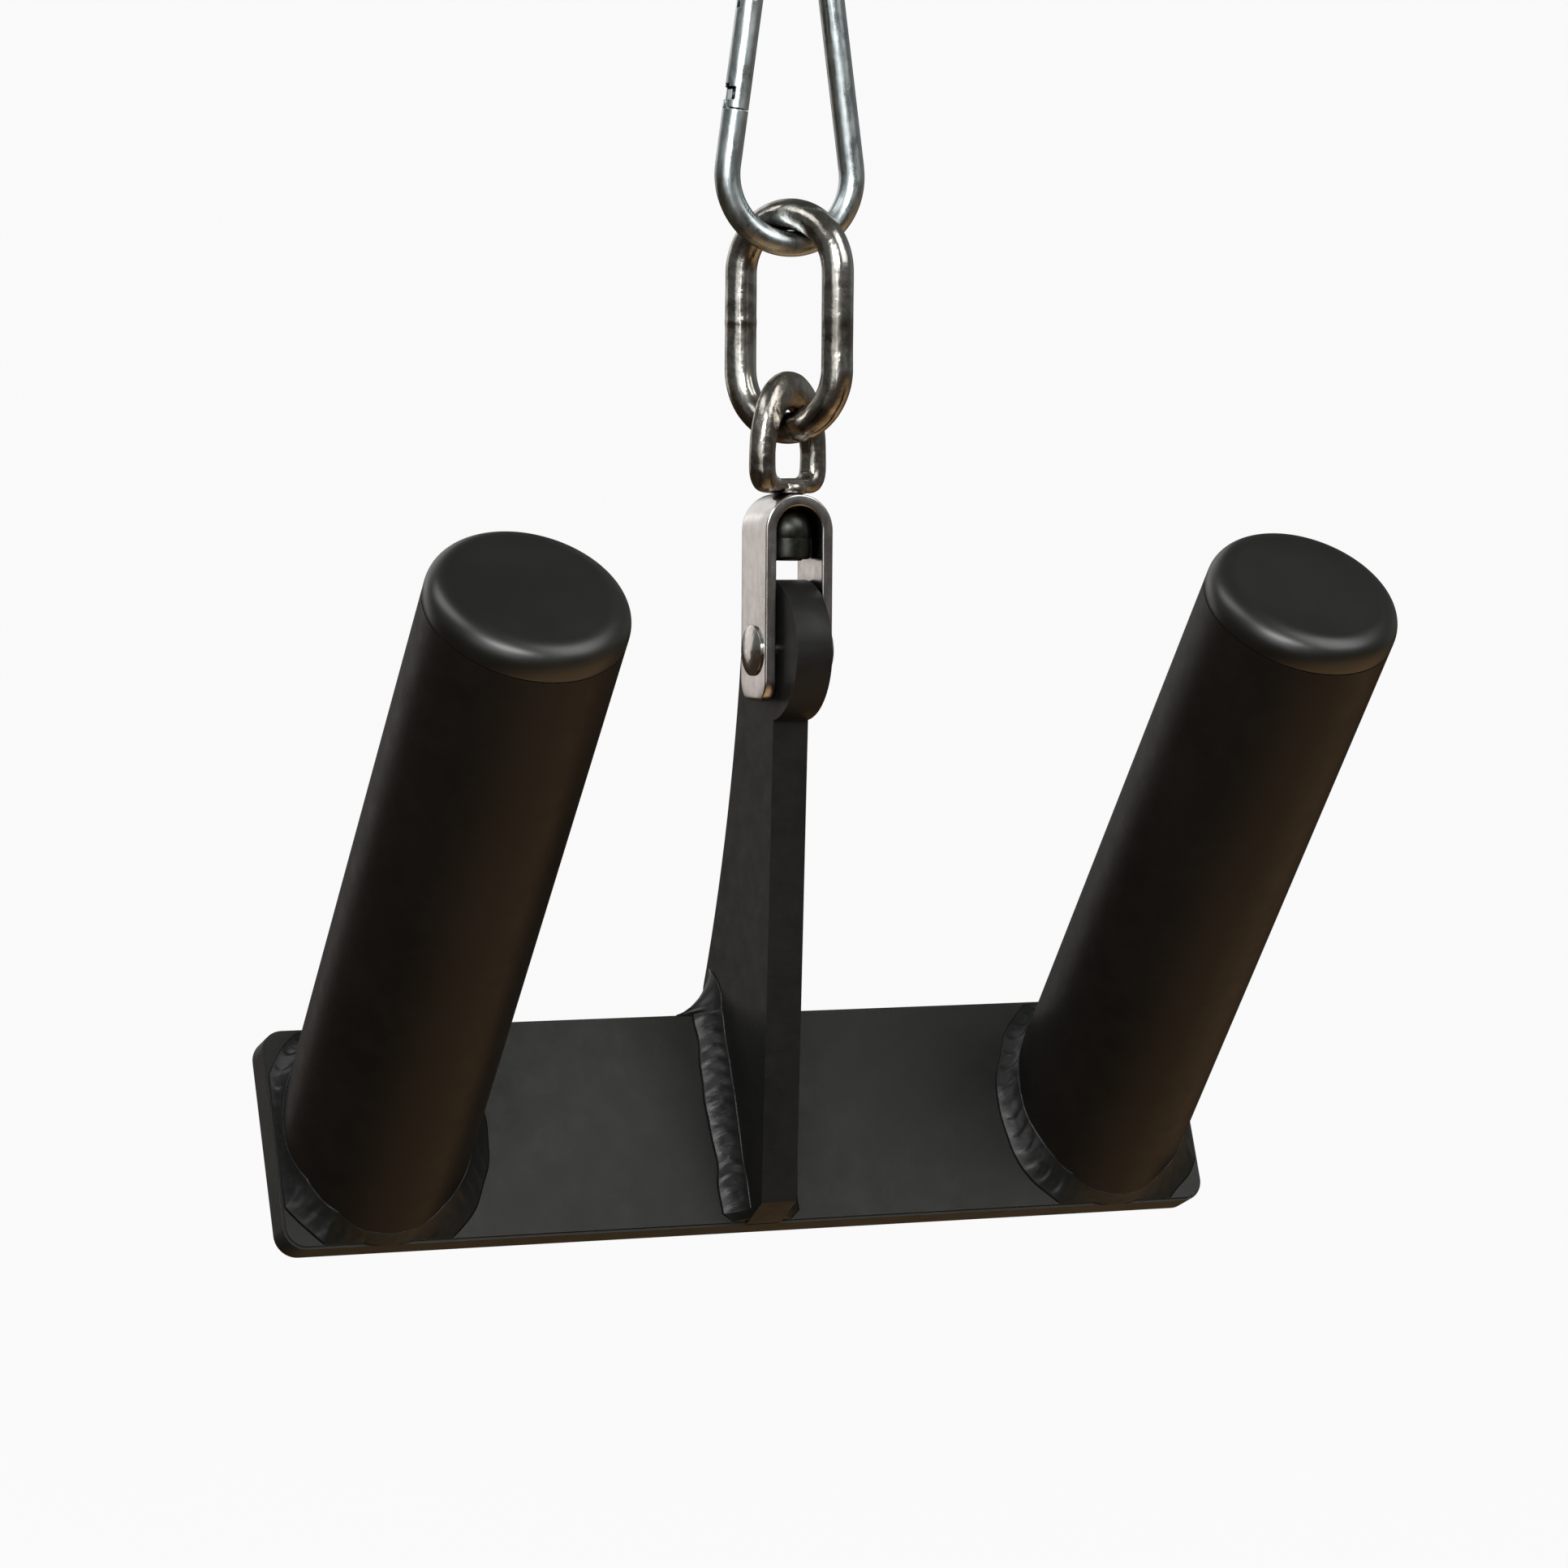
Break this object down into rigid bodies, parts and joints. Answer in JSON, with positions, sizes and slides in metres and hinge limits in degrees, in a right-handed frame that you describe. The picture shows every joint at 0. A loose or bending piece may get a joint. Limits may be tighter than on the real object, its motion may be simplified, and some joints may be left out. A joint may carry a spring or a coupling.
{
  "type": "cable row handle",
  "caption": "Angled thick-grip row handle: flat plate and flat neck hung from a swivel bracket, chain link and spring snap hook.",
  "frame": {"origin": "middle of the seat inside the snap hook's upper arc, where the machine's ring bears", "axes": "+Z along the pull, from the handle towards the machine; +X along the plate; -Y is the side the grips stand on"},
  "size_m": [0.266, 0.1531, 0.3467],
  "materials": {
    "plate_paint": "satin black powder coat",
    "neck_paint": "satin black powder coat",
    "grip_paint": "fine-textured black powder coat",
    "weld_paint": "black powder coat over rippled weld metal",
    "cap_plastic": "moulded black, semi-gloss",
    "bracket_plating": "bright nickel plate",
    "pin_plating": "bright nickel plate",
    "eye_plating": "bright nickel plate on a forging",
    "link_plating": "bright nickel plate",
    "hook_zinc": "bluish bright zinc plate",
    "small_steel": "bright steel"
  },
  "bodies": {
    "hook": {"hook_body": "hook_zinc"},
    "gate": {"hook_gate": "hook_zinc", "gate_pin": "small_steel", "gate_spring": "small_steel", "gate_plunger": "small_steel"},
    "link": {"chain_link": "link_plating"},
    "swivel": {"swivel_eye": "eye_plating", "swivel_head": "eye_plating"},
    "bracket": {"swivel_bracket": "bracket_plating", "cross_pin": "pin_plating", "pin_washer": "pin_plating"},
    "handle": {"base_plate": "plate_paint", "neck_plate": "neck_paint", "left_grip_tube": "grip_paint", "right_grip_tube": "grip_paint", "left_end_cap": "cap_plastic", "right_end_cap": "cap_plastic", "left_tube_weld": "weld_paint", "right_tube_weld": "weld_paint", "left_neck_weld": "weld_paint", "right_neck_weld": "weld_paint"}
  },
  "joints": [
    {"name": "gate_hinge", "type": "hinge", "parent": "hook", "child": "gate", "pos_m": [-0.01149, 0, -0.01349], "axis": [0, -1, 0], "range_deg": [0, 28], "stiffness_Nm_per_rad": 0.02, "springref_deg": -17.19},
    {"name": "link_swing", "type": "hinge", "parent": "hook", "child": "link", "pos_m": [0, 0, -0.0772], "axis": [1, 0, 0], "range_deg": [-45, 45]},
    {"name": "eye_swing", "type": "hinge", "parent": "link", "child": "swivel", "pos_m": [0, 0, -0.12514], "axis": [0.5299, -0.848, 0], "range_deg": [-40, 40]},
    {"name": "bracket_swivel", "type": "hinge", "parent": "swivel", "child": "bracket", "pos_m": [0, 0, -0.14239], "axis": [0, 0, 1], "continuous": true},
    {"name": "handle_pivot", "type": "hinge", "parent": "bracket", "child": "handle", "pos_m": [0, 0, -0.18329], "axis": [1, 0, 0], "range_deg": [-90, 90]}
  ]
}
